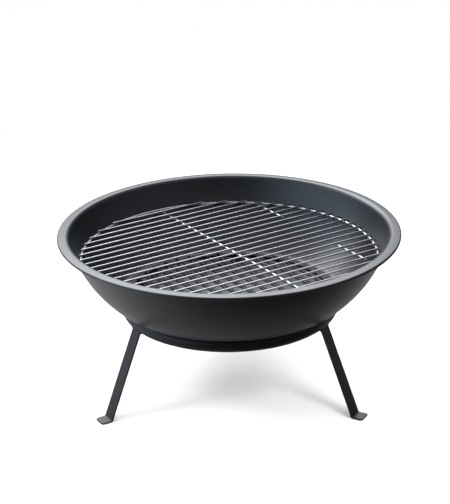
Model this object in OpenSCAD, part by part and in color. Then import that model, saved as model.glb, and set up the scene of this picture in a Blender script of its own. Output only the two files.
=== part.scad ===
// Fire pit: a pressed steel bowl on a three-legged stand, with a wire cooking grate
// near its rim and a rod ember grate on its floor.
// Units are millimetres. The origin is on the ground, under the middle of the bowl.
// +Z is up and the front, where two legs show, faces -Y.

/* [Bowl] */
// Outside diameter of the rim
rim_d = 580; // [500:1:700]
// Height of the rim's crest above the ground
total_h = 295; // [240:1:360]
// Thickness of the bowl's sheet steel
sheet_t = 1.5; // [1:0.1:2.5]
// Diameter of the flat part of the bowl's base
base_d = 372; // [300:1:400]
// Outside radius between the base and the wall
base_corner_r = 18; // [8:1:30]
// Outside radius of the wall's curve, seen from the side
wall_r = 210; // [185:1:300]
// Depth of the pressed step that drops inside the stand's ring
step_h = 4; // [2:0.5:8]

/* [Rim] */
// Distance from the rim's edge in to the crest of the flange
flange_w = 13; // [9:0.5:25]
// Radius over the crest, on the upper face
crest_r = 8; // [5:0.5:14]
// Fall of the flange from its crest to its edge, in degrees
flange_fall = 5.5; // [0:0.5:15]
// Radius of the turned-down lip, on the outer face
lip_r = 3; // [2.6:0.1:5]
// Straight drop of the lip below its radius
lip_drop = 2.5; // [1:0.5:8]

/* [Stand] */
// Height of the ring's crown, which carries the bowl
stand_h = 173.7; // [130:0.1:210]
// Diameter of the ring's round tube
tube_d = 25; // [18:1:32]
// Wall of the ring's tube
tube_wall = 1.5; // [1:0.1:3]
// Width of a leg's flat bar
leg_w = 25; // [15:1:40]
// Thickness of a leg's flat bar
leg_t = 3; // [2:0.5:6]
// Lean of a leg from the vertical, in degrees
leg_lean = 21.5; // [5:0.5:35]
// Angle round the tube, below its outer side, where a leg meets it
leg_meet = 54.5; // [35:0.5:70]
// Length of the toe, from the middle of its bend to its end
toe_l = 18.7; // [12:0.1:40]
// Corner radius of the toe's end
toe_corner_r = 4; // [1:0.5:6]
// Radius of the bend above the toe, at the middle of the bar
toe_bend_r = 4; // [3.5:0.5:10]

/* [Cooking grate] */
// Depth of the grate's ring below the rim's crest
grate_drop = 45.5; // [30:0.5:60]
// Diameter of the wire in the grate's ring
grate_ring_wire_d = 4.5; // [3:0.1:8]
// Number of parallel wires
wire_count = 24; // [16:2:30]
// Diameter of the parallel wires
wire_d = 3; // [2:0.1:5]
// Distance from the ring in to the first and last wires
wire_edge_gap = 17.5; // [12:0.5:30]
// Length of wire past the middle of the ring
wire_poke = 3; // [0:0.1:3]
// Direction of the wires, from +X towards +Y, in degrees
grate_turn = 32.65; // [0:0.05:180]
// Diameter of the full cross bar
cross_bar_d = 4; // [3:0.1:6]
// Distance of the full cross bar from the middle
cross_bar_offset = 10.4; // [0:0.1:60]
// Diameter of the two short cross rods
short_rod_d = 3; // [2:0.1:4]
// First wire over each short rod, counted from the back
short_rod_first_wires = [4, 16]; // [1:1:19]
// Number of wires over each short rod
short_rod_span = 5; // [3:1:6]
// Length of a short rod past its first and last wires
short_rod_poke = 4; // [1:0.5:6]

/* [Ember grate] */
// Distance from the edge of the base's flat in to the ring
ember_inset = 13.4; // [5:0.1:40]
// Diameter of the rod in the ember grate's ring
ember_ring_rod_d = 4; // [3:0.1:8]
// Number of parallel rods
ember_rod_count = 13; // [9:2:17]
// Diameter of the parallel rods
ember_rod_d = 4; // [3:0.1:8]
// Distance from the ring in to the first and last rods
ember_edge_gap = 21.4; // [12:0.1:30]
// Length of rod past the middle of the ring
ember_poke = 3; // [0:0.5:6]
// Distance of the two ember cross bars from the middle
ember_bar_offset = 127.6; // [60:0.1:130]

/* [Fits] */
// Gap between round faces that rest on another piece
seat_gap = 0.3; // [0.2:0.1:0.6]
// Room round the bowl's step, inside the stand's ring
step_clearance = 1.5; // [1:0.5:6]

/* [Hidden] */
$fn = 96;
// Largest distance between an arc and the straight lines that stand for it
arc_tolerance = 0.014;
rim_r = rim_d / 2;
base_r = base_d / 2;
tube_r = tube_d / 2;
leg_angles = [210, 330, 90];
leg_names = ["leg_front_left", "leg_front_right", "leg_rear"];

// Heights
ring_z = stand_h - tube_r;
base_z = stand_h + seat_gap;
floor_z = base_z + sheet_t;
grate_z = total_h - grate_drop;
wire_z = grate_z + (grate_ring_wire_d + wire_d) / 2;
ember_ring_z = floor_z + ember_ring_rod_d / 2;
ember_rod_z = ember_ring_z + (ember_ring_rod_d + ember_rod_d) / 2;

// The ring's crown runs under the edge of the base's flat
ring_r = base_r - tube_r;
// Half the tube's width where the bottom of the step passes it
step_tube_half = sqrt(max(0, tube_r * tube_r - pow(tube_r - step_h, 2)));
step_r = ring_r - step_tube_half - step_clearance - step_h;

// Centres of the side view's arcs, as [radius, height]
corner_c = [base_r, base_z + base_corner_r];
crest_c = [rim_r - flange_w, total_h - crest_r];
wall_c = circles_meet(corner_c, wall_r - base_corner_r, crest_c, wall_r + crest_r - sheet_t);
wall_low = angle_of(corner_c - wall_c);
wall_high = angle_of(crest_c - wall_c);
flange_run = (rim_r - lip_r - crest_c.x - (crest_r - lip_r) * sin(flange_fall)) / cos(flange_fall);
lip_c = crest_c + (crest_r - lip_r) * [sin(flange_fall), cos(flange_fall)]
      + flange_run * [cos(flange_fall), -sin(flange_fall)];

// The grate's ring lies against the inside of the wall
grate_reach = wall_r - sheet_t - grate_ring_wire_d / 2 - seat_gap;
grate_r = wall_c.x + sqrt(pow(grate_reach, 2) - pow(grate_z - wall_c.y, 2));
wire_pitch = 2 * (grate_r - wire_edge_gap) / (wire_count - 1);
// A short rod's back end lies against the ring
short_rod_end = wire_offset(short_rod_first_wires[0]) + short_rod_poke;
short_rod_reach = grate_r - (grate_ring_wire_d + short_rod_d) / 2 - seat_gap;
short_rod_offset = sqrt(pow(short_rod_reach, 2) - pow(short_rod_end, 2));

// A leg's bar ends inside the tube, which is cut from it; heel is the point of its bend
leg_up = [-sin(leg_lean), cos(leg_lean)];
leg_face = [cos(leg_lean), sin(leg_lean)];
leg_target = polar([ring_r, ring_z], tube_r, -leg_meet);
leg_top = leg_target + tube_r / 2 * leg_up;
heel = leg_target - (leg_target.y - leg_t / 2) / leg_up.y * leg_up;
toe_bend_c = heel + toe_bend_r * [tan(45 - leg_lean / 2), 1];
toe_end = heel.x + toe_l;

ember_r = base_r - ember_inset;
ember_pitch = 2 * (ember_r - ember_edge_gap) / (ember_rod_count - 1);

function angle_of(v) = atan2(v.y, v.x);
function polar(centre, r, a) = centre + r * [cos(a), sin(a)];
function arc(centre, r, from, to) =
    let (steps = ceil(abs(to - from) / (2 * acos(1 - arc_tolerance / r))))
    [for (i = [0:steps]) polar(centre, r, from + (to - from) * i / steps)];
function reversed(list) = [for (i = [len(list) - 1:-1:0]) list[i]];
function two_digits(k) = str(k < 10 ? "0" : "", k);
// Of the two points at distance ra from a and rb from b, the one nearer the axis
function circles_meet(a, ra, b, rb) =
    let (d = norm(b - a),
         along = (ra * ra - rb * rb + d * d) / (2 * d),
         across = sqrt(ra * ra - along * along),
         u = (b - a) / d)
    a + along * u + across * [-u.y, u.x];
// Distance of a wire or rod from the middle; number 1 is at the back
function wire_offset(k) = ((wire_count + 1) / 2 - k) * wire_pitch;
function ember_offset(k) = ((ember_rod_count + 1) / 2 - k) * ember_pitch;
function half_chord(r, away) = sqrt(r * r - away * away);

// One face of the sheet, from the axis to the lip: "up" is 0 for the under face and
// sheet_t for the upper one
function sheet_face(up) =
    let (miter = up * tan(22.5))
    concat(
        [[0, base_z - step_h + up],
         [step_r - miter, base_z - step_h + up],
         [step_r + step_h - miter, base_z + up]],
        arc(corner_c, base_corner_r - up, -90, wall_low),
        arc(wall_c, wall_r - up, wall_low, wall_high),
        arc(crest_c, crest_r - sheet_t + up, wall_high + 180, 90 - flange_fall),
        arc(lip_c, lip_r - sheet_t + up, 90 - flange_fall, 0),
        [[lip_c.x + lip_r - sheet_t + up, lip_c.y - lip_drop]]
    );

// A ring of round bar, centred on the axis
module round_ring(radius, bar_d, z) {
    translate([0, 0, z])
        rotate_extrude(convexity = 4)
            translate([radius, 0])
                circle(d = bar_d, $fn = 32);
}

// A straight round bar along X, at a distance from the middle
module round_bar(half_length, bar_d, away, z) {
    translate([-half_length, away, z])
        rotate([0, 90, 0])
            cylinder(h = 2 * half_length, d = bar_d, $fn = 32);
}

module fire_bowl() {
    color([0.16, 0.17, 0.18])
        rotate_extrude(convexity = 6, $fn = 180)
            polygon(concat(sheet_face(0), reversed(sheet_face(sheet_t))));
}

module stand_ring() {
    color([0.12, 0.13, 0.14])
        difference() {
            round_ring(ring_r, tube_d, ring_z);
            round_ring(ring_r, tube_d - 2 * tube_wall, ring_z);
        }
}

// Side view of a leg: x is out from the axis and y is up
module leg_outline() {
    inner = toe_bend_r - leg_t / 2;
    outer = toe_bend_r + leg_t / 2;
    polygon(concat(
        [[toe_end, leg_t]],
        arc(toe_bend_c, inner, 270, 180 + leg_lean),
        [leg_top + leg_t / 2 * leg_face, leg_top - leg_t / 2 * leg_face],
        arc(toe_bend_c, outer, 180 + leg_lean, 270),
        [[toe_end, 0]]
    ));
}

// Plan view that the bar is cut to: straight sides and a toe with round corners
module leg_plan() {
    corner = [toe_end - toe_corner_r, leg_w / 2 - toe_corner_r];
    polygon(concat(
        [[0, leg_w / 2], [0, -leg_w / 2]],
        arc([corner.x, -corner.y], toe_corner_r, -90, 0),
        arc(corner, toe_corner_r, 0, 90)
    ));
}

module leg(angle) {
    color([0.17, 0.19, 0.21])
        difference() {
            rotate([0, 0, angle])
                intersection() {
                    rotate([90, 0, 0])
                        linear_extrude(height = leg_w, center = true)
                            leg_outline();
                    linear_extrude(height = ring_z)
                        leg_plan();
                }
            round_ring(ring_r, tube_d, ring_z);
        }
}

module grate_ring() {
    color([0.78, 0.79, 0.80])
        round_ring(grate_r, grate_ring_wire_d, grate_z);
}

module grate_wire(k) {
    away = wire_offset(k);
    color([0.78, 0.79, 0.80])
        rotate([0, 0, grate_turn])
            round_bar(half_chord(grate_r, away) + wire_poke, wire_d, away, wire_z);
}

// The full cross bar lies under the wires and ends at the ring
module grate_cross_bar() {
    color([0.74, 0.75, 0.76])
        difference() {
            rotate([0, 0, grate_turn - 90])
                round_bar(half_chord(grate_r, cross_bar_offset), cross_bar_d, cross_bar_offset,
                          wire_z - (wire_d + cross_bar_d) / 2);
            grate_ring();
        }
}

module grate_short_rod(first_wire) {
    back = wire_offset(first_wire) + short_rod_poke;
    front = wire_offset(first_wire + short_rod_span - 1) - short_rod_poke;
    color([0.74, 0.75, 0.76])
        rotate([0, 0, grate_turn])
            translate([short_rod_offset, front, wire_z - (wire_d + short_rod_d) / 2])
                rotate([-90, 0, 0])
                    cylinder(h = back - front, d = short_rod_d, $fn = 32);
}

module ember_ring() {
    color([0.10, 0.10, 0.11])
        round_ring(ember_r, ember_ring_rod_d, ember_ring_z);
}

module ember_rod(k) {
    away = ember_offset(k);
    color([0.11, 0.11, 0.12])
        rotate([0, 0, grate_turn + 90])
            round_bar(half_chord(ember_r, away) + ember_poke, ember_rod_d, away, ember_rod_z);
}

module ember_cross_bar(side) {
    away = side * ember_bar_offset;
    color([0.10, 0.10, 0.11])
        difference() {
            rotate([0, 0, grate_turn])
                round_bar(half_chord(ember_r, away), ember_ring_rod_d, away, ember_ring_z);
            ember_ring();
        }
}

stand_ring();
for (k = [0:len(leg_names) - 1])
    leg(leg_angles[k]);
fire_bowl();
grate_ring();
for (k = [1:wire_count])
    grate_wire(k);
grate_cross_bar();
grate_short_rod(short_rod_first_wires[0]);  // grate_short_rod_rear
grate_short_rod(short_rod_first_wires[1]);  // grate_short_rod_front
ember_ring();
for (k = [1:ember_rod_count])
    ember_rod(k);
ember_cross_bar(1);  // ember_cross_bar_rear
ember_cross_bar(-1);  // ember_cross_bar_front
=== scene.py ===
"""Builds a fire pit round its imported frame: a pressed steel bowl on a three-legged stand,
with a wire cooking grate near its rim and a rod ember grate on its floor.

Lengths are in metres. The origin is on the ground under the middle of the bowl, +Z is up
and the front, where two legs show, faces -Y."""

import math

import bmesh
import bpy
from mathutils import Matrix, Vector


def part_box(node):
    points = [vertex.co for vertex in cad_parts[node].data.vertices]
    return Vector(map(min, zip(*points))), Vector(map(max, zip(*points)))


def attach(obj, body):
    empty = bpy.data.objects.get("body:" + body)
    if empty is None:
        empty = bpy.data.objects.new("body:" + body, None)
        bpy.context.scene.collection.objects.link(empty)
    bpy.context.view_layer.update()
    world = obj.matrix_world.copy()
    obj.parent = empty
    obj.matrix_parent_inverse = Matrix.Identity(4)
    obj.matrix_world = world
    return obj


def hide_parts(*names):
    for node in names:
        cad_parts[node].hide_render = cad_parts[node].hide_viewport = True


bl_info = {
    "name": "Fire Pit",
    "version": (1, 0, 0),
    "blender": (4, 5, 0),
    "location": "View3D > Sidebar > Fire Pit",
    "description": "Builds a bowl fire pit with its stand, cooking grate and ember grate",
    "category": "Add Mesh",
}

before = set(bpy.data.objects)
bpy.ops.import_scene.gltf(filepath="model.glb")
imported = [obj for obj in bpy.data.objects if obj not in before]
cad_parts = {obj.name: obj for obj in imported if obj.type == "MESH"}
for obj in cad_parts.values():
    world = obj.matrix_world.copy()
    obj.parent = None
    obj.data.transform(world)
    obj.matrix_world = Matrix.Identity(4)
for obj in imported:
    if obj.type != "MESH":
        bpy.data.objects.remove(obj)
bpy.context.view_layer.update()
bpy.ops.object.select_all(action="DESELECT")

LEG_ANGLES = {
    "front_left": math.radians(210),
    "front_right": math.radians(330),
    "rear": math.radians(90),
}
WIRE_NODES = sorted(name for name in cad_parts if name.startswith("grate_wire_"))
SHORT_ROD_NODES = ["grate_short_rod_front", "grate_short_rod_rear"]
EMBER_ROD_NODES = sorted(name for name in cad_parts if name.startswith("ember_rod_"))
EMBER_BAR_NODES = ["ember_cross_bar_front", "ember_cross_bar_rear"]
QUARTER_TURN = math.pi / 2
FULL_TURN = 2 * math.pi
Z_AXIS = (0, 0, 1)

# Bends of the bowl's sheet
STEP_SLOPE = math.radians(45)
CURL_TURN = math.radians(-185)

# How finely round shapes are divided
BOWL_STEPS = 192
TUBE_STEPS = 192
TUBE_SIDES = 40
WIRE_RING_STEPS = 240
ROD_RING_STEPS = 180
BAR_SIDES = 16

# Welds
BEAD_STEP = 0.0012
BEAD_RIPPLE = 0.12
BEAD_BEAT = 2.4
SEAM_BEAD = 0.0011
SEAM_SINK = 0.0004
SEAM_ANGLE = math.radians(72)
SEAM_SPAN = (math.radians(-205), math.radians(25))
SEAM_DROPS = 52
WELD_DEPTH = 0.75

# Finishes: waves per metre of each kind of grain, and how strongly light bends into a paint
DRIFT_WAVES = 6
CLOUD_WAVES = 60
PEEL_WAVES = 430
SCALE_WAVES = 900
GRAIN_WAVES = 2400
WIRE_STREAKS = (30, 1200, 1200)
STREAK_HEIGHT = 0.00002
SCALE_HEIGHT = 0.00006
BOWL_IOR = 1.8
STAND_IOR = 1.5

# A Mix node's colour sockets share their names with others, so they go by number
MIX_COLOUR_A = 6
MIX_COLOUR_B = 7
MIX_COLOUR_RESULT = 2

# Camera
LENS = 119.8
SENSOR = 36
CAMERA_PLACE = (-0.0073, -2.6394, 1.3166)
CAMERA_TILT = math.radians(90 - 21.943)
CAMERA_ROLL = math.radians(-0.92)

# The room round the fire pit, as its paint and wires reflect it
FRONT_LIGHT = (0.035, 0.038, 0.045)
LEFT_LIGHT = (0.80, 1.02, 1.30)
RIGHT_LIGHT = (0.13, 0.15, 0.18)
TOP_LIGHT = (0.38, 0.39, 0.42)
BACK_LIGHT = (0.80, 0.84, 0.92)
WINDOW_LIGHT = (5.3, 5.45, 5.7)
BACK_RIGHT_LOSS = 0.85

# Where one of the room's lights fades into the next, along one axis of a direction
SIDE_FADE = (0.2, 0.95)
TOP_FADE = (0.15, 0.95)
BACK_FADE = (0.15, 0.52)
WINDOW_FADE = (0.28, 0.55)
BACK_RIGHT_FADE = (-0.12, 0.60)

# The floor: its own colour, and the painted light and shade that set how light it looks in reflections, dim
# near the front and lighter near the back
FLOOR_COLOUR = (0.5, 0.495, 0.487)
FLOOR_PAINTED_SHADE_FRONT = (0.010, 0.010, 0.0105)
FLOOR_PAINTED_LIGHT_BACK = (0.175, 0.175, 0.18)
FLOOR_PAINTED_LIGHT_FADE = (-0.60, 0.35)
FLOOR_PAINTED_LIGHT_SLANT = 0.5
FLOOR_EDGE = (0.8, 1.6)
FLOOR_SIZE = 30
FLOOR_LAMPS = {
    "overhead": {"place": (0, 0.1, 2.0), "size": 8.0, "power": 590},
    "left": {"place": (-1.66, -0.6, 1.77), "size": 0.7, "power": 45},
    "right": {"place": (1.06, -1.41, 1.77), "size": 0.7, "power": 45},
}


# ---------------------------------------------------------------- Settings


class BowlSettings(bpy.types.PropertyGroup):
    """Shape of the bowl's sheet, seen from the side"""

    sheet: bpy.props.FloatProperty(
        name="Sheet", description="Thickness of the sheet steel", default=0.0015, unit="LENGTH"
    )
    corner_radius: bpy.props.FloatProperty(
        name="Corner radius",
        description="Outside radius between the base and the wall",
        default=0.018,
        unit="LENGTH",
    )
    wall_radius: bpy.props.FloatProperty(
        name="Wall radius",
        description="Outside radius of the wall's curve",
        default=0.210,
        unit="LENGTH",
    )
    step: bpy.props.FloatProperty(
        name="Step", description="Depth of the step pressed into the base", default=0.004, unit="LENGTH"
    )
    step_room: bpy.props.FloatProperty(
        name="Step room",
        description="Room round the step, inside the stand's ring",
        default=0.0015,
        unit="LENGTH",
    )
    step_bend: bpy.props.FloatProperty(
        name="Step bend", description="Radius of the step's two bends", default=0.003, unit="LENGTH"
    )
    flange: bpy.props.FloatProperty(
        name="Flange",
        description="Distance from the rim's edge in to the crest",
        default=0.013,
        unit="LENGTH",
    )
    crest_radius: bpy.props.FloatProperty(
        name="Crest radius", description="Radius over the crest", default=0.008, unit="LENGTH"
    )
    flange_fall: bpy.props.FloatProperty(
        name="Flange fall",
        description="Fall of the flange from its crest to its edge",
        default=math.radians(5.5),
        unit="ROTATION",
    )
    lip_radius: bpy.props.FloatProperty(
        name="Lip radius", description="Outside radius of the turned-down lip", default=0.003, unit="LENGTH"
    )
    lip_drop: bpy.props.FloatProperty(
        name="Lip drop", description="Height of the lip below its radius", default=0.0025, unit="LENGTH"
    )
    curl_radius: bpy.props.FloatProperty(
        name="Curl radius",
        description="Radius of the sheet's edge where it curls in under the rim",
        default=0.0016,
        unit="LENGTH",
    )


class StandSettings(bpy.types.PropertyGroup):
    """Shape of the stand's three legs and its welds"""

    leg_width: bpy.props.FloatProperty(
        name="Leg width", description="Width of a leg's flat bar", default=0.025, unit="LENGTH"
    )
    leg_thickness: bpy.props.FloatProperty(
        name="Leg thickness", description="Thickness of a leg's flat bar", default=0.003, unit="LENGTH"
    )
    leg_lean: bpy.props.FloatProperty(
        name="Leg lean",
        description="Lean of a leg from the vertical",
        default=math.radians(21.5),
        unit="ROTATION",
    )
    toe_length: bpy.props.FloatProperty(
        name="Toe length",
        description="Length of the toe, from the middle of its bend to its end",
        default=0.0187,
        unit="LENGTH",
    )
    toe_bend: bpy.props.FloatProperty(
        name="Toe bend", description="Radius of the bend above the toe", default=0.004, unit="LENGTH"
    )
    toe_corner: bpy.props.FloatProperty(
        name="Toe corner", description="Radius of the toe's two corners", default=0.004, unit="LENGTH"
    )
    edge_round: bpy.props.FloatProperty(
        name="Edge round", description="Rounding of the flat bar's edges", default=0.0004, unit="LENGTH"
    )
    bead_radius: bpy.props.FloatProperty(
        name="Weld bead", description="Radius of a weld bead's drops", default=0.0019, unit="LENGTH"
    )


class GrateSettings(bpy.types.PropertyGroup):
    """Direction of the two grates and the finish of their ends and welds"""

    turn: bpy.props.FloatProperty(
        name="Turn",
        description="Direction of the cooking grate's wires, from +X towards +Y",
        default=math.radians(32.65),
        unit="ROTATION",
    )
    end_round: bpy.props.FloatProperty(
        name="End round",
        description="Rounding of a wire's cut ends, as a share of its radius",
        default=0.3,
        subtype="FACTOR",
    )
    weld_spread: bpy.props.FloatProperty(
        name="Weld spread",
        description="Radius of a spot weld, as a share of the upper wire's radius",
        default=1.3,
    )


class FinishSettings(bpy.types.PropertyGroup):
    """Colours of the finishes"""

    bowl_colour: bpy.props.FloatVectorProperty(
        name="Bowl",
        description="Colour of the bowl's paint",
        default=(0.010, 0.0108, 0.012),
        subtype="COLOR",
    )
    stand_colour: bpy.props.FloatVectorProperty(
        name="Stand",
        description="Colour of the stand's paint",
        default=(0.008, 0.009, 0.0105),
        subtype="COLOR",
    )
    wire_colour: bpy.props.FloatVectorProperty(
        name="Wire",
        description="Colour of the cooking grate's plating",
        default=(0.56, 0.57, 0.585),
        subtype="COLOR",
    )
    ember_colour: bpy.props.FloatVectorProperty(
        name="Ember grate",
        description="Colour of the ember grate",
        default=(0.012, 0.012, 0.013),
        subtype="COLOR",
    )
    bowl_roughness: bpy.props.FloatProperty(
        name="Bowl roughness", description="Roughness of the bowl's paint", default=0.35
    )
    stand_roughness: bpy.props.FloatProperty(
        name="Stand roughness", description="Roughness of the stand's paint", default=0.42
    )
    peel: bpy.props.FloatProperty(
        name="Orange peel", description="Height of the paint's orange peel", default=0.00003, unit="LENGTH"
    )


class FirePitSettings(bpy.types.PropertyGroup):
    """Everything that can be set"""

    bowl: bpy.props.PointerProperty(type=BowlSettings)
    stand: bpy.props.PointerProperty(type=StandSettings)
    grates: bpy.props.PointerProperty(type=GrateSettings)
    finish: bpy.props.PointerProperty(type=FinishSettings)


# ---------------------------------------------------------------- Places from the frame


class RoundRing:
    """A ring of round bar or tube, centred on the axis, measured from its node."""

    def __init__(self, node):
        low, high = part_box(node)
        self.bar_radius = (high.z - low.z) / 2
        self.radius = high.x - self.bar_radius
        self.height = low.z + self.bar_radius

    def half_chord(self, away):
        """Half the ring's width, measured this far from the middle."""
        return math.sqrt(self.radius**2 - away**2)


class StraightBar:
    """A level round bar that runs along a known direction, measured from its node."""

    def __init__(self, node, turn):
        low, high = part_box(node)
        self.node = node
        self.radius = (high.z - low.z) / 2
        self.middle = (low + high) / 2
        self.turn = turn
        self.along = Vector((math.cos(turn), math.sin(turn), 0))
        self.across = Vector((-math.sin(turn), math.cos(turn), 0))
        longer, shorter = (0, 1) if abs(self.along.x) > abs(self.along.y) else (1, 0)
        half_box = (high[longer] - low[longer]) / 2
        self.half = (half_box - self.radius * abs(self.along[shorter])) / abs(self.along[longer])
        self.away = self.middle.dot(self.across)

    def place(self):
        """Turns and moves a bar that lies along X at the origin to this one's place."""
        return Matrix.Translation(self.middle) @ Matrix.Rotation(self.turn, 4, "Z")

    def ring_contacts(self, ring):
        """The two points where it lies on a ring below it."""
        half = ring.half_chord(self.away)
        level = Vector((0, 0, ring.height + ring.bar_radius))
        return [self.across * self.away + self.along * way * half + level for way in (-1, 1)]

    def crossing(self, lower):
        """The point where it lies on a square-crossing bar below it, or None past either's end."""
        on_self = (lower.middle - self.middle).dot(self.along)
        on_lower = (self.middle - lower.middle).dot(lower.along)
        if abs(on_self) > self.half or abs(on_lower) > lower.half:
            return None
        point = self.middle + self.along * on_self
        point.z = self.middle.z - self.radius
        return point


def wires():
    turn = bpy.context.scene.fire_pit.grates.turn
    return [StraightBar(node, turn) for node in WIRE_NODES]


def cross_bars():
    turn = bpy.context.scene.fire_pit.grates.turn - QUARTER_TURN
    return [StraightBar(node, turn) for node in ["grate_cross_bar", *SHORT_ROD_NODES]]


def ember_rods():
    turn = bpy.context.scene.fire_pit.grates.turn + QUARTER_TURN
    return [StraightBar(node, turn) for node in EMBER_ROD_NODES]


def ember_cross_bars():
    turn = bpy.context.scene.fire_pit.grates.turn
    return [StraightBar(node, turn) for node in EMBER_BAR_NODES]


# ---------------------------------------------------------------- Plane geometry


def polar(centre, radius, angle):
    """A point of a side view, as (distance from the axis, height)."""
    return centre + Vector((math.cos(angle), math.sin(angle))) * radius


def arc(centre, radius, start, end, steps):
    return [polar(centre, radius, start + (end - start) * i / steps) for i in range(steps + 1)]


def angle_of(way):
    return math.atan2(way.y, way.x)


def circles_meet(a, radius_a, b, radius_b):
    """Of the two points at those distances from a and b, the one nearer the axis."""
    gap = b - a
    along = (radius_a**2 - radius_b**2 + gap.length_squared) / (2 * gap.length)
    across = math.sqrt(radius_a**2 - along**2)
    way = gap.normalized()
    return a + way * along + Vector((-way.y, way.x)) * across


def side_point(point, angle=0.0):
    """The place of a side view's point, on the side of the axis that an angle gives."""
    return Vector((point.x * math.cos(angle), point.x * math.sin(angle), point.y))


# ---------------------------------------------------------------- Modelling


def pick(piece):
    """Makes a piece the only selected object and the active one."""
    bpy.ops.object.select_all(action="DESELECT")
    piece.select_set(True)
    bpy.context.view_layer.objects.active = piece


def start_edit(piece):
    pick(piece)
    bpy.ops.object.mode_set(mode="EDIT")


def end_edit():
    bpy.ops.object.mode_set(mode="OBJECT")


def choose(kind, test):
    """In edit mode, selects just the vertices, edges or faces that pass a test."""
    bpy.ops.mesh.select_mode(type=kind)
    bpy.ops.mesh.select_all(action="DESELECT")
    mesh = bmesh.from_edit_mesh(bpy.context.edit_object.data)
    for part in {"VERT": mesh.verts, "EDGE": mesh.edges, "FACE": mesh.faces}[kind]:
        if test(part):
            part.select_set(True)
    bmesh.update_edit_mesh(bpy.context.edit_object.data)


def added(name):
    """The primitive that was just added, named."""
    piece = bpy.context.object
    piece.name = name
    piece.data.name = name
    return piece


def add_modifier(piece, kind, **settings):
    """Adds a modifier, sets it and applies it."""
    pick(piece)
    bpy.ops.object.modifier_add(type=kind)
    modifier = piece.modifiers[-1]
    for name, value in settings.items():
        setattr(modifier, name, value)
    bpy.ops.object.modifier_apply(modifier=modifier.name)


def put(piece, place):
    """Moves a piece by a matrix, which goes into its mesh."""
    piece.matrix_world = place
    pick(piece)
    bpy.ops.object.transform_apply(location=True, rotation=True, scale=True)


def twin(piece, name, place):
    """A copy of a piece with its own mesh, at another place."""
    pick(piece)
    bpy.ops.object.duplicate()
    copy = added(name)
    put(copy, place)
    return copy


def join(pieces, name):
    """Joins pieces into one."""
    pick(pieces[0])
    for piece in pieces[1:]:
        piece.select_set(True)
    bpy.ops.object.join()
    return added(name)


def discard(piece):
    pick(piece)
    bpy.ops.object.delete()


def smooth(piece, degrees=40):
    pick(piece)
    bpy.ops.object.shade_smooth_by_angle(angle=math.radians(degrees))


def face_out(piece):
    """Merges doubled vertices and turns the faces outwards."""
    start_edit(piece)
    bpy.ops.mesh.select_all(action="SELECT")
    bpy.ops.mesh.remove_doubles(threshold=0.00001)
    bpy.ops.mesh.normals_make_consistent(inside=False)
    end_edit()


def finished(piece, material, body, slot, *nodes):
    """Gives a piece its material and its place in the frame."""
    piece.data.materials.clear()
    piece.data.materials.append(material)
    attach(piece, body)
    if nodes:
        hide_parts(*nodes)
    return piece


def spun_line(name, points, steps):
    """A surface made by spinning a side view's line round the axis."""
    first, *rest = [side_point(point) for point in points]
    bpy.ops.mesh.primitive_plane_add(size=0.001, location=first)
    piece = added(name)
    start_edit(piece)
    bpy.ops.mesh.merge(type="CENTER")
    last = first
    for point in rest:
        bpy.ops.mesh.extrude_vertices_move(TRANSFORM_OT_translate={"value": point - last})
        last = point
    bpy.ops.mesh.select_all(action="SELECT")
    bpy.ops.mesh.spin(steps=steps, angle=FULL_TURN, center=(0, 0, 0), axis=Z_AXIS)
    end_edit()
    put(piece, piece.matrix_world.copy())
    face_out(piece)
    return piece


def spun_ring(name, ring, steps, sides):
    """A ring of round bar, bent from its round section."""
    section = Vector((ring.radius, 0, ring.height))
    bpy.ops.mesh.primitive_circle_add(
        vertices=sides, radius=ring.bar_radius, location=section, rotation=(QUARTER_TURN, 0, 0)
    )
    piece = added(name)
    start_edit(piece)
    bpy.ops.mesh.select_all(action="SELECT")
    bpy.ops.mesh.spin(steps=steps, angle=FULL_TURN, center=(0, 0, 0), axis=Z_AXIS)
    end_edit()
    put(piece, piece.matrix_world.copy())
    face_out(piece)
    smooth(piece)
    return piece


def bar_stock(radius):
    """A short round bar along X with rounded ends, which is cut to each bar's length."""
    stock_half = 0.01
    bpy.ops.mesh.primitive_cylinder_add(
        vertices=BAR_SIDES, radius=radius, depth=2 * stock_half, rotation=(0, QUARTER_TURN, 0)
    )
    stock = added("bar_stock")
    put(stock, stock.matrix_world.copy())
    start_edit(stock)
    choose("EDGE", lambda edge: abs(edge.verts[0].co.x - edge.verts[1].co.x) < radius / 100)
    end_round = bpy.context.scene.fire_pit.grates.end_round
    bpy.ops.mesh.bevel(offset=radius * end_round, segments=3, affect="EDGES")
    end_edit()
    smooth(stock)
    return stock, stock_half


def cut_bars(bars, old_word, new_word, material, body, slot):
    """Cuts every bar of one radius from the same stock, and names it after its node."""
    stock, stock_half = bar_stock(bars[0].radius)
    for bar in bars:
        piece = twin(stock, bar.node.replace(old_word, new_word), Matrix.Identity(4))
        start_edit(piece)
        for way in (-1, 1):
            choose("VERT", lambda vertex: vertex.co.x * way > 0)
            bpy.ops.transform.translate(value=((bar.half - stock_half) * way, 0, 0))
        end_edit()
        put(piece, bar.place())
        finished(piece, material, body, slot, bar.node)
    discard(stock)


def bead(name, points, radius):
    """A weld bead: overlapping drops along a path, run together."""
    drops = []
    for index, point in enumerate(points):
        drop_radius = radius * (1 + BEAD_RIPPLE * math.sin(BEAD_BEAT * index))
        bpy.ops.mesh.primitive_uv_sphere_add(
            segments=12, ring_count=8, radius=drop_radius, location=point
        )
        drops.append(bpy.context.object)
    piece = join(drops, name)
    put(piece, piece.matrix_world.copy())
    add_modifier(piece, "REMESH", voxel_size=radius / 5)
    smooth(piece, 80)
    return piece


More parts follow.
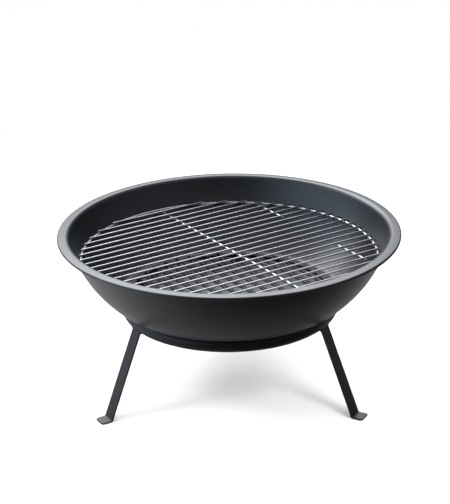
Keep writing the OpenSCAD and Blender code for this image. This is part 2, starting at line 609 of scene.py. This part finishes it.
def spot_welds(name, contacts, spread, depth):
    """One piece that holds a flat drop at each contact between two bars."""
    bpy.ops.mesh.primitive_uv_sphere_add(segments=10, ring_count=5, radius=spread)
    drop = added("drop")
    start_edit(drop)
    bpy.ops.mesh.select_all(action="SELECT")
    bpy.ops.transform.resize(value=(1, 1, depth / spread))
    end_edit()
    drops = [twin(drop, "drop", Matrix.Translation(contact)) for contact in contacts]
    discard(drop)
    piece = join(drops, name)
    put(piece, piece.matrix_world.copy())
    smooth(piece, 80)
    return piece


# ---------------------------------------------------------------- Shader maths


class Socket:
    """A node's output, on which Python's arithmetic adds Math nodes."""

    def __init__(self, graph, output):
        self.graph = graph
        self.output = output

    def math(self, operation, first, second):
        return self.graph.node("Math", {"operation": operation}, {0: first, 1: second})

    def __add__(self, other):
        return self.math("ADD", self, other)

    def __radd__(self, other):
        return self.math("ADD", other, self)

    def __sub__(self, other):
        return self.math("SUBTRACT", self, other)

    def __mul__(self, other):
        return self.math("MULTIPLY", self, other)

    def __neg__(self):
        return self.math("MULTIPLY", self, -1)


class Graph:
    """The nodes of a material or of the world."""

    def __init__(self, tree):
        self.tree = tree
        tree.nodes.clear()

    def node(self, kind, settings=None, inputs=None, output=0):
        """Adds a node: its settings first, then the values or links of its sockets."""
        made = self.tree.nodes.new("ShaderNode" + kind)
        for name, value in (settings or {}).items():
            setattr(made, name, value)
        for name, value in (inputs or {}).items():
            if isinstance(value, Socket):
                self.tree.links.new(value.output, made.inputs[name])
            else:
                made.inputs[name].default_value = value
        return Socket(self, made.outputs[output]) if made.outputs else made

    def parts(self, vector):
        """The X, Y and Z of a vector."""
        split = self.node("SeparateXYZ", None, {0: vector}).output.node
        return [Socket(self, output) for output in split.outputs]

    def noise(self, place, scale, detail=2):
        return self.node("TexNoise", None, {"Vector": place, "Scale": scale, "Detail": detail})

    def ramp(self, value, low, high):
        """0 below low, 1 above high and smooth between them."""
        settings = {"interpolation_type": "SMOOTHSTEP"}
        return self.node("MapRange", settings, {"Value": value, "From Min": low, "From Max": high})

    def mix(self, share, first, second):
        """A colour between two colours."""
        inputs = {"Factor": share, MIX_COLOUR_A: first, MIX_COLOUR_B: second}
        return self.node("Mix", {"data_type": "RGBA"}, inputs, MIX_COLOUR_RESULT)

    def scaled(self, colour, factor):
        return self.node("VectorMath", {"operation": "SCALE"}, {0: colour[:3], "Scale": factor})

    def surface(self, shader):
        self.node("OutputMaterial", None, {"Surface": shader})


def new_material(name):
    material = bpy.data.materials.new(name)
    material.use_nodes = True
    return material, Graph(material.node_tree)


def opaque(colour):
    return (*colour, 1.0)


def sprayed_paint(name, colour, roughness, ior):
    """Paint sprayed on steel: orange peel, a fine grain and slow drifts of shade and gloss."""
    material, graph = new_material(name)
    place = graph.node("TexCoord", output="Object")
    drift = graph.noise(place, DRIFT_WAVES, 3)
    grain = graph.noise(place, GRAIN_WAVES)
    peel = graph.noise(place, PEEL_WAVES)
    bump = {
        "Distance": bpy.context.scene.fire_pit.finish.peel,
        "Height": peel + grain * 0.12,
    }
    inputs = {
        "Base Color": graph.scaled(colour, 0.86 + drift * 0.28),
        "Roughness": roughness + (drift - 0.5) * 0.12 + (grain - 0.5) * 0.06,
        "IOR": ior,
        "Normal": graph.node("Bump", None, bump),
    }
    graph.surface(graph.node("BsdfPrincipled", None, inputs))
    return material


def semi_gloss_black():
    """The bowl's paint, which stands heat."""
    finish = bpy.context.scene.fire_pit.finish
    return sprayed_paint("semi_gloss_black", finish.bowl_colour, finish.bowl_roughness, BOWL_IOR)


def satin_black():
    """The stand's paint."""
    finish = bpy.context.scene.fire_pit.finish
    return sprayed_paint("satin_black", finish.stand_colour, finish.stand_roughness, STAND_IOR)


def plated_wire():
    """Drawn and plated wire: fine streaks along it and a slightly cloudy shine."""
    settings = bpy.context.scene.fire_pit
    material, graph = new_material("plated_wire")
    place = graph.node("TexCoord", output="Object")
    turn = (0, 0, -settings.grates.turn)
    turned = graph.node("Mapping", None, {"Vector": place, "Rotation": turn})
    stretched = graph.node("Mapping", None, {"Vector": turned, "Scale": WIRE_STREAKS})
    streaks = graph.noise(stretched, 1)
    clouds = graph.noise(place, CLOUD_WAVES, 3)
    inputs = {
        "Base Color": graph.scaled(settings.finish.wire_colour, 0.86 + clouds * 0.2),
        "Metallic": 1.0,
        "Roughness": 0.2 + clouds * 0.1 + streaks * 0.08,
        "Normal": graph.node("Bump", None, {"Distance": STREAK_HEIGHT, "Height": streaks}),
    }
    graph.surface(graph.node("BsdfPrincipled", None, inputs))
    return material


def matt_black():
    """Matt black on hot-rolled rod, with its fine scale."""
    colour = bpy.context.scene.fire_pit.finish.ember_colour
    material, graph = new_material("matt_black")
    place = graph.node("TexCoord", output="Object")
    scale = graph.noise(place, SCALE_WAVES, 4)
    drift = graph.noise(place, 2 * DRIFT_WAVES)
    inputs = {
        "Base Color": graph.scaled(colour, 0.8 + drift * 0.4),
        "Roughness": 0.52 + (scale - 0.5) * 0.2,
        "Normal": graph.node("Bump", None, {"Distance": SCALE_HEIGHT, "Height": scale}),
    }
    graph.surface(graph.node("BsdfPrincipled", None, inputs))
    return material


def shared(make):
    """A material that is made once and then found again by its function's name."""
    return bpy.data.materials.get(make.__name__) or make()


# ---------------------------------------------------------------- The pieces


def bowl_line(sizes):
    """The middle of the bowl's sheet, seen from the side, from the axis to the curled edge."""
    tube = RoundRing("stand_ring")
    low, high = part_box("fire_bowl")
    middle = sizes.sheet / 2
    base_radius = tube.radius + tube.bar_radius
    base_height = low.z + sizes.step
    corner = Vector((base_radius, base_height + sizes.corner_radius))
    crest = Vector((high.x - sizes.flange, high.z - sizes.crest_radius))
    wall = circles_meet(
        corner,
        sizes.wall_radius - sizes.corner_radius,
        crest,
        sizes.wall_radius + sizes.crest_radius - sizes.sheet,
    )
    wall_low = angle_of(corner - wall)
    wall_high = angle_of(crest - wall)

    fall = sizes.flange_fall
    lip_rise = sizes.crest_radius - sizes.lip_radius
    flange_run = (high.x - sizes.lip_radius - crest.x - lip_rise * math.sin(fall)) / math.cos(fall)
    lip = crest + Vector((math.sin(fall), math.cos(fall))) * lip_rise
    lip += Vector((math.cos(fall), -math.sin(fall))) * flange_run
    lip_bottom = lip.y - sizes.lip_drop
    curl = Vector((high.x - middle - sizes.curl_radius, lip_bottom + middle + sizes.curl_radius))

    half_tube = math.sqrt(tube.bar_radius**2 - (tube.bar_radius - sizes.step) ** 2)
    miter = middle * math.tan(STEP_SLOPE / 2)
    step_in = tube.radius - half_tube - sizes.step_room - sizes.step - miter
    bend_cut = sizes.step_bend * math.tan(STEP_SLOPE / 2)
    floor_low = low.z + middle
    floor_high = base_height + middle
    lower_bend = Vector((step_in - bend_cut, floor_low + sizes.step_bend))
    upper_bend = Vector((step_in + sizes.step + bend_cut, floor_high - sizes.step_bend))

    up = QUARTER_TURN
    return [
        Vector((0, floor_low)),
        *arc(lower_bend, sizes.step_bend, -up, STEP_SLOPE - up, 4),
        *arc(upper_bend, sizes.step_bend, STEP_SLOPE + up, up, 4),
        *arc(corner, sizes.corner_radius - middle, -up, wall_low, 10),
        *arc(wall, sizes.wall_radius - middle, wall_low, wall_high, 28)[1:],
        *arc(crest, sizes.crest_radius - middle, wall_high + math.pi, up - fall, 12),
        *arc(lip, sizes.lip_radius - middle, up - fall, 0, 8),
        *arc(curl, sizes.curl_radius, 0, CURL_TURN, 12),
    ]


class FIREPIT_OT_bowl(bpy.types.Operator):
    """Press the bowl from one sheet, with its step, flange and curled edge"""

    bl_idname = "firepit.bowl"
    bl_label = "Bowl"

    def execute(self, context):
        sizes = context.scene.fire_pit.bowl
        bowl = spun_line("bowl_sheet", bowl_line(sizes), BOWL_STEPS)
        add_modifier(bowl, "SOLIDIFY", thickness=sizes.sheet, offset=0.0, use_even_offset=True)
        smooth(bowl)
        finished(bowl, shared(semi_gloss_black), "bowl", "bowl_paint", "fire_bowl")
        return {"FINISHED"}


class FIREPIT_OT_stand_ring(bpy.types.Operator):
    """Bend the stand's ring from round tube and weld its seam at the back"""

    bl_idname = "firepit.stand_ring"
    bl_label = "Stand ring"

    def execute(self, context):
        tube = RoundRing("stand_ring")
        ring = spun_ring("ring_tube", tube, TUBE_STEPS, TUBE_SIDES)
        finished(ring, shared(satin_black), "stand", "stand_paint", "stand_ring")

        centre = Vector((tube.radius, tube.height))
        section = arc(centre, tube.bar_radius - SEAM_SINK, *SEAM_SPAN, SEAM_DROPS)
        path = [side_point(point, SEAM_ANGLE) for point in section]
        seam = bead("ring_seam_weld", path, SEAM_BEAD)
        finished(seam, shared(satin_black), "stand", "stand_paint")
        return {"FINISHED"}


class LegShape:
    """A leg's side view: out from the axis, and up."""

    def __init__(self, sizes):
        tube = RoundRing("stand_ring")
        toe_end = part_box("leg_rear")[1].y
        heel = Vector((toe_end - sizes.toe_length, sizes.leg_thickness / 2))
        lean = sizes.leg_lean
        self.up = Vector((-math.sin(lean), math.cos(lean)))
        self.face = Vector((math.cos(lean), math.sin(lean)))
        self.bend = QUARTER_TURN - lean
        self.bend_centre = heel + Vector((math.tan(self.bend / 2), 1)) * sizes.toe_bend
        self.toe_end = toe_end
        to_tube = Vector((tube.radius, tube.height)) - heel
        meets = to_tube.dot(self.up) - math.sqrt(tube.bar_radius**2 - to_tube.dot(self.face) ** 2)
        self.halfway = heel + self.up * meets / 2
        top = heel + self.up * (meets + tube.bar_radius / 2)
        self.straight = (top - self.bend_centre).dot(self.up)


def leg_bar(shape, sizes, ring):
    """A flat bar along +X: its toe, the bend, and the leg up to the ring, cut to fit it."""
    toe = Vector(((shape.bend_centre.x + shape.toe_end) / 2, 0, sizes.leg_thickness / 2))
    toe_size = (shape.toe_end - shape.bend_centre.x, sizes.leg_width, sizes.leg_thickness)
    bpy.ops.mesh.primitive_cube_add(size=1, location=toe, scale=toe_size)
    bar = added("leg_bar")
    put(bar, bar.matrix_world.copy())
    start_edit(bar)
    choose("EDGE", lambda edge: all(v.co.x > toe.x for v in edge.verts) and is_upright(edge))
    bpy.ops.mesh.bevel(offset=sizes.toe_corner, segments=6, affect="EDGES")
    choose("FACE", lambda face: face.normal.x < -0.9)
    bpy.ops.mesh.spin(
        steps=8,
        angle=-shape.bend,
        use_auto_merge=False,
        center=side_point(shape.bend_centre),
        axis=(0, 1, 0),
    )
    up = side_point(shape.up)
    bpy.ops.mesh.extrude_region_move(TRANSFORM_OT_translate={"value": up * shape.straight})
    end_edit()
    face_out(bar)
    add_modifier(bar, "BEVEL", width=sizes.edge_round, segments=2, angle_limit=math.radians(50))
    add_modifier(bar, "BOOLEAN", operation="DIFFERENCE", object=ring, solver="EXACT")
    smooth(bar)
    add_modifier(bar, "WEIGHTED_NORMAL", keep_sharp=True)
    return bar


def is_upright(edge):
    low, high = sorted(vertex.co.z for vertex in edge.verts)
    return high - low > 0.9 * edge.calc_length()


def leg_weld_path(shape, sizes, ring):
    """Where the bar's inner face and its two narrow sides meet the ring."""
    half_width = sizes.leg_width / 2
    half_thick = sizes.leg_thickness / 2
    turns = [
        (half_thick, -half_width),
        (-half_thick, -half_width),
        (-half_thick, half_width),
        (half_thick, half_width),
    ]
    middle = side_point(shape.halfway)
    face = side_point(shape.face)
    path = []
    for (out_a, across_a), (out_b, across_b) in zip(turns, turns[1:]):
        steps = math.ceil(math.hypot(out_b - out_a, across_b - across_a) / BEAD_STEP)
        for i in range(steps):
            out = out_a + (out_b - out_a) * i / steps
            across = across_a + (across_b - across_a) * i / steps
            start = middle + face * out + Vector((0, across, 0))
            found, point, _, _ = ring.ray_cast(start, side_point(shape.up))
            if not found:
                raise RuntimeError("A leg misses the stand's ring")
            path.append(point)
    return path


class FIREPIT_OT_legs(bpy.types.Operator):
    """Bend one leg from flat bar, then weld three of them under the ring"""

    bl_idname = "firepit.legs"
    bl_label = "Legs"

    def execute(self, context):
        sizes = context.scene.fire_pit.stand
        ring = bpy.data.objects["ring_tube"]
        shape = LegShape(sizes)
        first_bar = leg_bar(shape, sizes, ring)
        context.view_layer.update()
        first_bead = bead("leg_bead", leg_weld_path(shape, sizes, ring), sizes.bead_radius)
        for side, angle in LEG_ANGLES.items():
            turned = Matrix.Rotation(angle, 4, "Z")
            bar = twin(first_bar, "leg_bar_" + side, turned)
            finished(bar, shared(satin_black), "stand", "stand_paint", "leg_" + side)
            weld = twin(first_bead, "leg_weld_" + side, turned)
            finished(weld, shared(satin_black), "stand", "stand_paint")
        discard(first_bar)
        discard(first_bead)
        return {"FINISHED"}


class FIREPIT_OT_grate_ring(bpy.types.Operator):
    """Bend the cooking grate's ring from wire"""

    bl_idname = "firepit.grate_ring"
    bl_label = "Cooking grate ring"

    def execute(self, context):
        ring = spun_ring("plated_ring", RoundRing("grate_ring"), WIRE_RING_STEPS, BAR_SIDES)
        finished(ring, shared(plated_wire), "cooking_grate", "bright_wire", "grate_ring")
        return {"FINISHED"}


class FIREPIT_OT_grate_wires(bpy.types.Operator):
    """Cut the cooking grate's parallel wires and the bars under them"""

    bl_idname = "firepit.grate_wires"
    bl_label = "Cooking grate wires"

    def execute(self, context):
        long_bar, *short_rods = cross_bars()
        for bars in (wires(), [long_bar], short_rods):
            cut_bars(bars, "grate_", "plated_", shared(plated_wire), "cooking_grate", "bright_wire")
        return {"FINISHED"}


class FIREPIT_OT_grate_welds(bpy.types.Operator):
    """Spot-weld the wires to the ring and to the bars under them"""

    bl_idname = "firepit.grate_welds"
    bl_label = "Cooking grate welds"

    def execute(self, context):
        ring = RoundRing("grate_ring")
        welds = weld_contacts("plated_welds", wires(), cross_bars(), ring)
        finished(welds, shared(plated_wire), "cooking_grate", "bright_wire")
        return {"FINISHED"}


class FIREPIT_OT_ember_ring(bpy.types.Operator):
    """Bend the ember grate's ring from rod"""

    bl_idname = "firepit.ember_ring"
    bl_label = "Ember grate ring"

    def execute(self, context):
        ring = spun_ring("black_ring", RoundRing("ember_ring"), ROD_RING_STEPS, BAR_SIDES)
        finished(ring, shared(matt_black), "ember_grate", "ember_black", "ember_ring")
        return {"FINISHED"}


class FIREPIT_OT_ember_rods(bpy.types.Operator):
    """Cut the ember grate's rods and its two cross bars"""

    bl_idname = "firepit.ember_rods"
    bl_label = "Ember grate rods"

    def execute(self, context):
        for bars in (ember_rods(), ember_cross_bars()):
            cut_bars(bars, "ember_", "black_", shared(matt_black), "ember_grate", "ember_black")
        return {"FINISHED"}


class FIREPIT_OT_ember_welds(bpy.types.Operator):
    """Spot-weld the rods to the ring and to the cross bars under them"""

    bl_idname = "firepit.ember_welds"
    bl_label = "Ember grate welds"

    def execute(self, context):
        ring = RoundRing("ember_ring")
        welds = weld_contacts("black_welds", ember_rods(), ember_cross_bars(), ring)
        finished(welds, shared(matt_black), "ember_grate", "ember_black")
        return {"FINISHED"}


def weld_contacts(name, upper_bars, lower_bars, ring):
    """Welds wherever an upper bar lies on the ring or on a bar below it."""
    contacts = []
    for upper in upper_bars:
        contacts += upper.ring_contacts(ring)
        crossings = [upper.crossing(lower) for lower in lower_bars]
        contacts += [point for point in crossings if point]
    radius = upper_bars[0].radius
    spread = radius * bpy.context.scene.fire_pit.grates.weld_spread
    return spot_welds(name, contacts, spread, radius * WELD_DEPTH)


# ---------------------------------------------------------------- The stage


def surroundings():
    """A white backdrop for the eye, and for reflections a room with a wide window behind."""
    world = bpy.data.worlds.new("studio")
    world.use_nodes = True
    bpy.context.scene.world = world
    graph = Graph(world.node_tree)
    way = graph.node("TexCoord", output="Generated")
    across, back, up = graph.parts(way)
    behind = graph.mix(graph.ramp(up, *WINDOW_FADE), opaque(BACK_LIGHT), opaque(WINDOW_LIGHT))
    dimmed = [level * (1 - BACK_RIGHT_LOSS) for level in BACK_LIGHT]
    behind = graph.mix(graph.ramp(across, *BACK_RIGHT_FADE), behind, opaque(dimmed))
    room = graph.mix(graph.ramp(-across, *SIDE_FADE), opaque(FRONT_LIGHT), opaque(LEFT_LIGHT))
    room = graph.mix(graph.ramp(across, *SIDE_FADE), room, opaque(RIGHT_LIGHT))
    room = graph.mix(graph.ramp(up, *TOP_FADE), room, opaque(TOP_LIGHT))
    room = graph.mix(graph.ramp(back, *BACK_FADE), room, behind)
    seen = graph.node("LightPath", output="Is Camera Ray")
    colour = graph.mix(seen, room, (1, 1, 1, 1))
    graph.node("OutputWorld", None, {"Surface": graph.node("Background", None, {"Color": colour})})


def floor():
    """A pale floor that takes a soft shadow and turns into the backdrop further out.

    In reflections its colour is painted light and shade: dim, darkest in front and to the right, lighter
    towards the back.
    """
    bpy.ops.mesh.primitive_plane_add(size=FLOOR_SIZE)
    sheet = added("floor")
    material, graph = new_material("floor")
    seen = graph.node("LightPath", output="Is Camera Ray")
    place = graph.node("TexCoord", output="Object")
    across, back, _ = graph.parts(place)
    # Painted light and shade: in reflections and bounced light the floor is dim, darkest in front and to
    # the right and lighter towards the back, standing in for how the floor is lit
    painted_light_share = graph.ramp(back - across * FLOOR_PAINTED_LIGHT_SLANT, *FLOOR_PAINTED_LIGHT_FADE)
    painted_floor_light = graph.mix(painted_light_share, opaque(FLOOR_PAINTED_SHADE_FRONT), opaque(FLOOR_PAINTED_LIGHT_BACK))
    colour = graph.mix(seen, painted_floor_light, opaque(FLOOR_COLOUR))
    matt = graph.node(
        "BsdfPrincipled", None, {"Base Color": colour, "Roughness": 1.0, "Specular IOR Level": 0.0}
    )
    out = graph.node("VectorMath", {"operation": "LENGTH"}, {0: place}, "Value")
    backdrop = graph.node("Emission", None, {"Color": (1, 1, 1, 1)})
    edge = graph.ramp(out, *FLOOR_EDGE) * seen
    graph.surface(graph.node("MixShader", None, {0: edge, 1: matt, 2: backdrop}))
    sheet.data.materials.append(material)
    return sheet


def floor_lamps(sheet):
    """Soft lights from above that fall on the floor alone, past the fire pit."""
    lit = bpy.data.collections.new("lit_by_floor_lamps")
    lit.objects.link(sheet)
    for name, lamp in FLOOR_LAMPS.items():
        light = bpy.data.lights.new(name, "AREA")
        light.size = lamp["size"]
        light.energy = lamp["power"]
        made = bpy.data.objects.new(name, light)
        made.location = lamp["place"]
        made.rotation_euler = (-Vector(lamp["place"])).to_track_quat("-Z", "Y").to_euler()
        made.visible_camera = False
        made.light_linking.receiver_collection = lit
        bpy.context.scene.collection.objects.link(made)


def camera():
    data = bpy.data.cameras.new("camera")
    data.lens = LENS
    data.sensor_width = SENSOR
    eye = bpy.data.objects.new("camera", data)
    tilt = Matrix.Rotation(CAMERA_TILT, 4, "X") @ Matrix.Rotation(CAMERA_ROLL, 4, "Z")
    eye.matrix_world = Matrix.Translation(CAMERA_PLACE) @ tilt
    bpy.context.scene.collection.objects.link(eye)
    bpy.context.scene.camera = eye


class FIREPIT_OT_stage(bpy.types.Operator):
    """Lay the floor, set the lights and the camera"""

    bl_idname = "firepit.stage"
    bl_label = "Stage"

    def execute(self, context):
        context.scene.view_settings.view_transform = "Standard"
        camera()
        surroundings()
        floor_lamps(floor())
        return {"FINISHED"}


OPERATORS = [
    FIREPIT_OT_stage,
    FIREPIT_OT_bowl,
    FIREPIT_OT_stand_ring,
    FIREPIT_OT_legs,
    FIREPIT_OT_grate_ring,
    FIREPIT_OT_grate_wires,
    FIREPIT_OT_grate_welds,
    FIREPIT_OT_ember_ring,
    FIREPIT_OT_ember_rods,
    FIREPIT_OT_ember_welds,
]


class FIREPIT_PT_build(bpy.types.Panel):
    """Buttons that build the fire pit, in order"""

    bl_idname = "FIREPIT_PT_build"
    bl_label = "Fire Pit"
    bl_space_type = "VIEW_3D"
    bl_region_type = "UI"
    bl_category = "Fire Pit"

    def draw(self, context):
        for operator in OPERATORS:
            self.layout.operator(operator.bl_idname)


SETTINGS = [BowlSettings, StandSettings, GrateSettings, FinishSettings, FirePitSettings]
CLASSES = [*SETTINGS, *OPERATORS, FIREPIT_PT_build]


def register():
    for made_class in CLASSES:
        bpy.utils.register_class(made_class)
    bpy.types.Scene.fire_pit = bpy.props.PointerProperty(type=FirePitSettings)


def unregister():
    del bpy.types.Scene.fire_pit
    for made_class in reversed(CLASSES):
        bpy.utils.unregister_class(made_class)


def main():
    register()
    for operator in OPERATORS:
        name = operator.bl_idname.split(".")[1]
        getattr(bpy.ops.firepit, name)()


if __name__ == "__main__":
    main()
